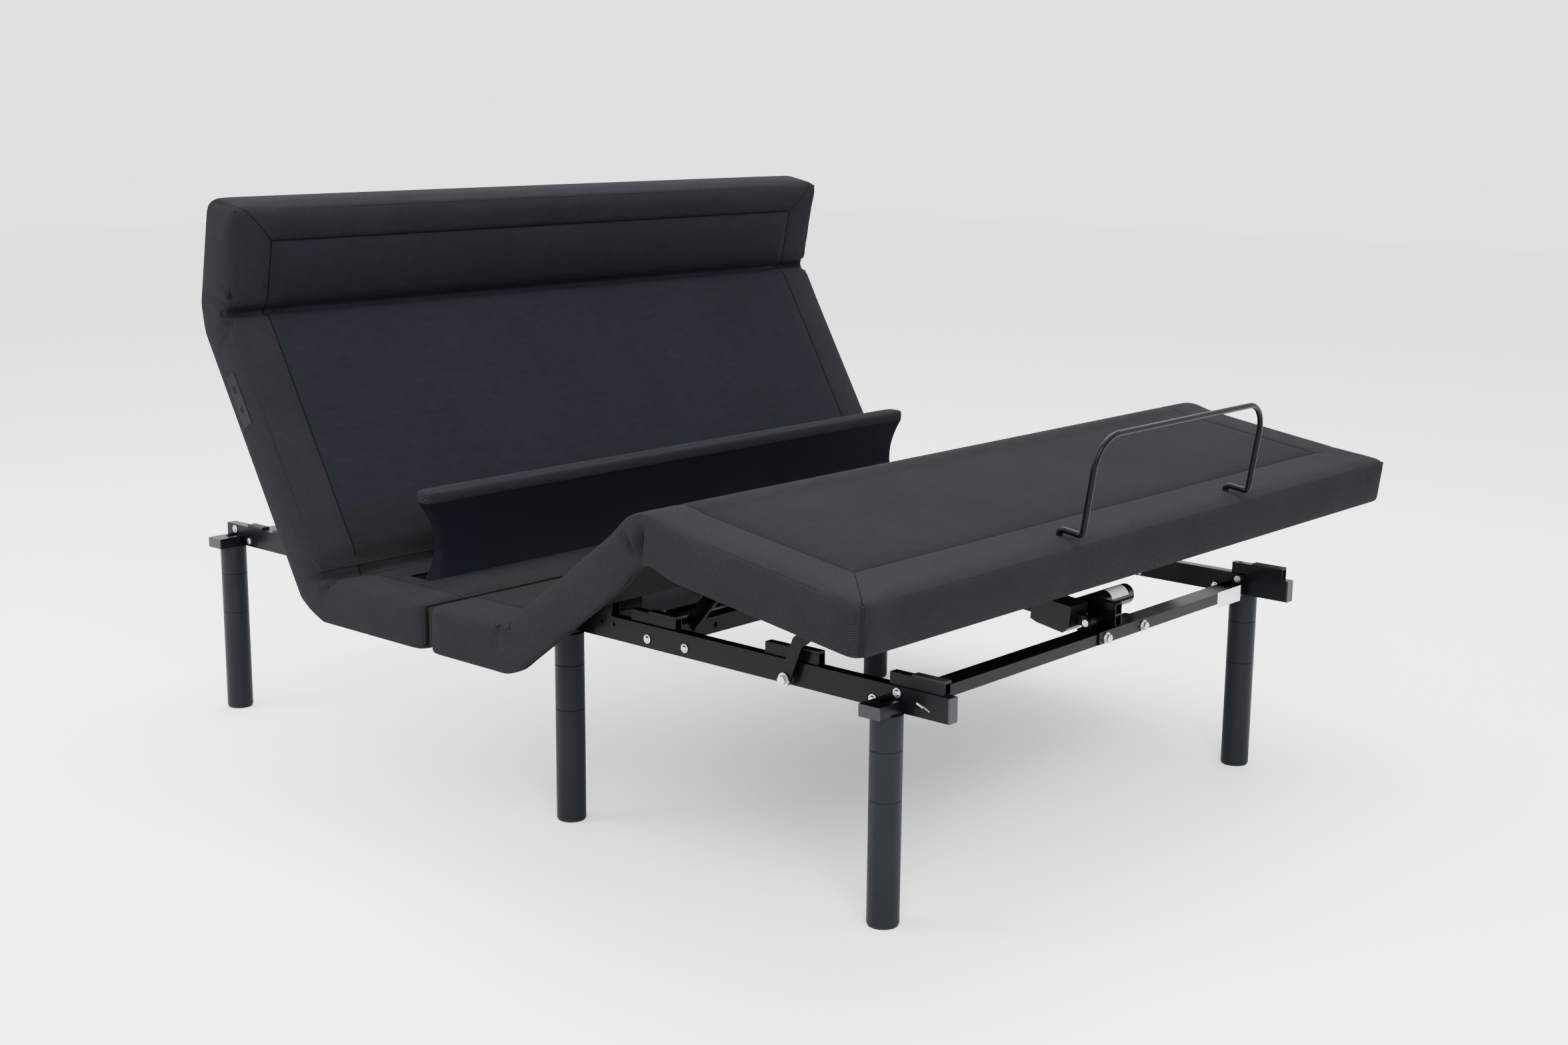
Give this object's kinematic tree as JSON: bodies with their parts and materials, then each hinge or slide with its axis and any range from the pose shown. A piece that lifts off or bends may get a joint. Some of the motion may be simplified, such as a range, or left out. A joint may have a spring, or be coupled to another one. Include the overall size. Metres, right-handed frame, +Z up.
{
  "type": "adjustable bed base",
  "caption": "Upholstered adjustable bed base with raised back, pillow tilt, lumbar bar, bent knee section and mattress retainer bar on a tubular steel frame with legs.",
  "frame": {"origin": "on the floor under the middle of the raised outline, on the centre line of the bed", "axes": "+Z up, +Y towards the head, X across the bed"},
  "size_m": [1.584, 1.9234, 1.0635],
  "materials": {
    "painted_steel": "gloss black enamel on steel tube",
    "leg_coat": "fine matt powder coat",
    "black_plastic": "satin moulded nylon",
    "gloss_plastic": "gloss moulded housing",
    "motor_case": "gloss black drawn steel",
    "zinc": "bright zinc plate",
    "bright_steel": "ground steel rod",
    "rubber": "matt black rubber and felt",
    "dark_board": "black-faced board and dark timber",
    "woven_cover": "charcoal twill weave",
    "knit_cover": "dark stretch knit",
    "cable_jacket": "black PVC lead"
  },
  "bodies": {
    "frame": {"side_rail_left": "painted_steel", "side_rail_right": "painted_steel", "tube_end_caps": "black_plastic", "leg_arms": "painted_steel", "leg_upper_segments": "leg_coat", "leg_middle_segments": "leg_coat", "leg_lower_segments": "leg_coat", "rubber_pads": "rubber", "leg_studs": "zinc", "rail_bolts": "zinc", "rail_plates": "painted_steel", "panel_risers": "painted_steel", "crossbars": "painted_steel", "foot_crossbar": "painted_steel", "crossbar_sleeve": "painted_steel", "hex_bolts": "zinc", "seat_rear_board": "dark_board", "seat_rear_pad": "woven_cover", "seat_front_board": "dark_board", "seat_front_pad": "woven_cover", "seat_hinges": "painted_steel", "pivot_brackets": "painted_steel", "actuator_pins": "zinc", "lumbar_guides": "painted_steel", "lumbar_actuator": "black_plastic", "control_box": "black_plastic", "power_supply": "black_plastic", "motor_cables": "cable_jacket"},
    "back": {"back_board": "dark_board", "back_pad": "woven_cover", "back_hinges": "painted_steel", "usb_panel": "black_plastic"},
    "pillow": {"pillow_board": "dark_board", "pillow_pad": "woven_cover", "pillow_hinges": "painted_steel"},
    "pillow_drive": {"pillow_actuator_housing": "black_plastic"},
    "pillow_rod": {"pillow_actuator_rod": "bright_steel"},
    "thigh": {"thigh_board": "dark_board", "thigh_pad": "woven_cover", "thigh_hinges": "painted_steel"},
    "foot": {"foot_board": "dark_board", "foot_pad": "woven_cover", "foot_hinges": "painted_steel", "link_lugs": "painted_steel", "retainer_grommets": "zinc"},
    "links": {"foot_links": "painted_steel"},
    "retainer": {"retainer_bar": "painted_steel"},
    "foot_lift": {"foot_lift_frame": "painted_steel"},
    "foot_rollers": {"foot_lift_rollers": "black_plastic"},
    "head_lift": {"head_lift_frame": "painted_steel"},
    "head_rollers": {"head_lift_rollers": "black_plastic"},
    "foot_drive": {"foot_actuator_housing": "gloss_plastic", "foot_actuator_motor": "motor_case"},
    "foot_rod": {"foot_actuator_rod": "bright_steel"},
    "head_drive": {"head_actuator_housing": "gloss_plastic", "head_actuator_motor": "motor_case"},
    "head_rod": {"head_actuator_rod": "bright_steel"},
    "lumbar": {"lumbar_bar": "painted_steel", "lumbar_pad": "woven_cover", "lumbar_skirt": "knit_cover"}
  },
  "joints": [
    {"name": "back_lift", "type": "hinge", "parent": "frame", "child": "back", "pos_m": [0, 0.288, 0.403], "axis": [1, 0, 0], "range_deg": [-60, 0]},
    {"name": "pillow_tilt", "type": "hinge", "parent": "back", "child": "pillow", "pos_m": [0, 0.55, 0.8568], "axis": [1, 0, 0], "range_deg": [-40.5, 0]},
    {"name": "lumbar_lift", "type": "slide", "parent": "frame", "child": "lumbar", "axis": [0, 0, 1], "range_m": [-0.153, 0], "deforming": ["lumbar_skirt"]},
    {"name": "thigh_lift", "type": "hinge", "parent": "frame", "child": "thigh", "pos_m": [0, -0.1937, 0.403], "axis": [-1, 0, 0], "range_deg": [-36.8, 0]},
    {"name": "knee_bend", "type": "hinge", "parent": "thigh", "child": "foot", "pos_m": [0, -0.49478, 0.62823], "axis": [-1, 0, 0], "range_deg": [-0.02, 45.32]},
    {"name": "foot_lift_swing", "type": "hinge", "parent": "frame", "child": "foot_lift", "pos_m": [0, -0.23, 0.345], "axis": [-1, 0, 0], "range_deg": [-38.99, 0.02]},
    {"name": "foot_roller_turn", "type": "hinge", "parent": "foot_lift", "child": "foot_rollers", "pos_m": [0, -0.41126, 0.54914], "axis": [1, 0, 0], "continuous": true},
    {"name": "head_lift_swing", "type": "hinge", "parent": "frame", "child": "head_lift", "pos_m": [0, 0.32, 0.365], "axis": [1, 0, 0], "range_deg": [-61.69, 0.02]},
    {"name": "head_roller_turn", "type": "hinge", "parent": "head_lift", "child": "head_rollers", "pos_m": [0, 0.44013, 0.6399], "axis": [1, 0, 0], "continuous": true},
    {"name": "foot_drive_pitch", "type": "hinge", "parent": "frame", "child": "foot_drive", "pos_m": [0, -0.772, 0.373], "axis": [1, 0, 0], "range_deg": [-4.02, 0.02]},
    {"name": "foot_drive_stroke", "type": "slide", "parent": "foot_drive", "child": "foot_rod", "axis": [0, 0.995, 0.0996], "range_m": [-0.04531, 0.0001]},
    {"name": "head_drive_pitch", "type": "hinge", "parent": "frame", "child": "head_drive", "pos_m": [0, -0.08, 0.295], "axis": [1, 0, 0], "range_deg": [-0.2486, 0.2486]},
    {"name": "head_drive_stroke", "type": "slide", "parent": "head_drive", "child": "head_rod", "axis": [0, 0.9999, 0.0128], "range_m": [-0.07698, 0.0001]},
    {"name": "pillow_drive_pitch", "type": "hinge", "parent": "back", "child": "pillow_drive", "pos_m": [0, 0.42764, 0.56486], "axis": [1, 0, 0], "range_deg": [-0.2667, 0.2667]},
    {"name": "pillow_drive_stroke", "type": "slide", "parent": "pillow_drive", "child": "pillow_rod", "axis": [0, 0.5177, 0.8555], "range_m": [-0.0347, 0.0001]},
    {"name": "foot_link_swing", "type": "hinge", "parent": "frame", "child": "links", "pos_m": [0, -0.575, 0.351], "axis": [1, 0, 0], "range_deg": [-0.02, 39.85]},
    {"name": "retainer_pull", "type": "slide", "parent": "foot", "child": "retainer", "axis": [0, -0.1478, 0.989], "range_m": [0, 0.03]}
  ],
  "couplings": [
    {"joint": "knee_bend", "follows": "thigh_lift", "ratio": -1.231},
    {"joint": "foot_lift_swing", "follows": "thigh_lift", "ratio": 1.0591},
    {"joint": "head_lift_swing", "follows": "back_lift", "ratio": 1.0279},
    {"joint": "foot_drive_pitch", "follows": "thigh_lift", "ratio": 0.10873},
    {"joint": "foot_drive_stroke", "follows": "thigh_lift", "m_per_rad": 0.070386},
    {"joint": "head_drive_pitch", "follows": "back_lift", "ratio": -0.002477},
    {"joint": "head_drive_stroke", "follows": "back_lift", "m_per_rad": 0.073415},
    {"joint": "pillow_drive_pitch", "follows": "pillow_tilt", "ratio": 0.004117},
    {"joint": "pillow_drive_stroke", "follows": "pillow_tilt", "m_per_rad": 0.048948},
    {"joint": "foot_link_swing", "follows": "thigh_lift", "ratio": -1.0824}
  ]
}
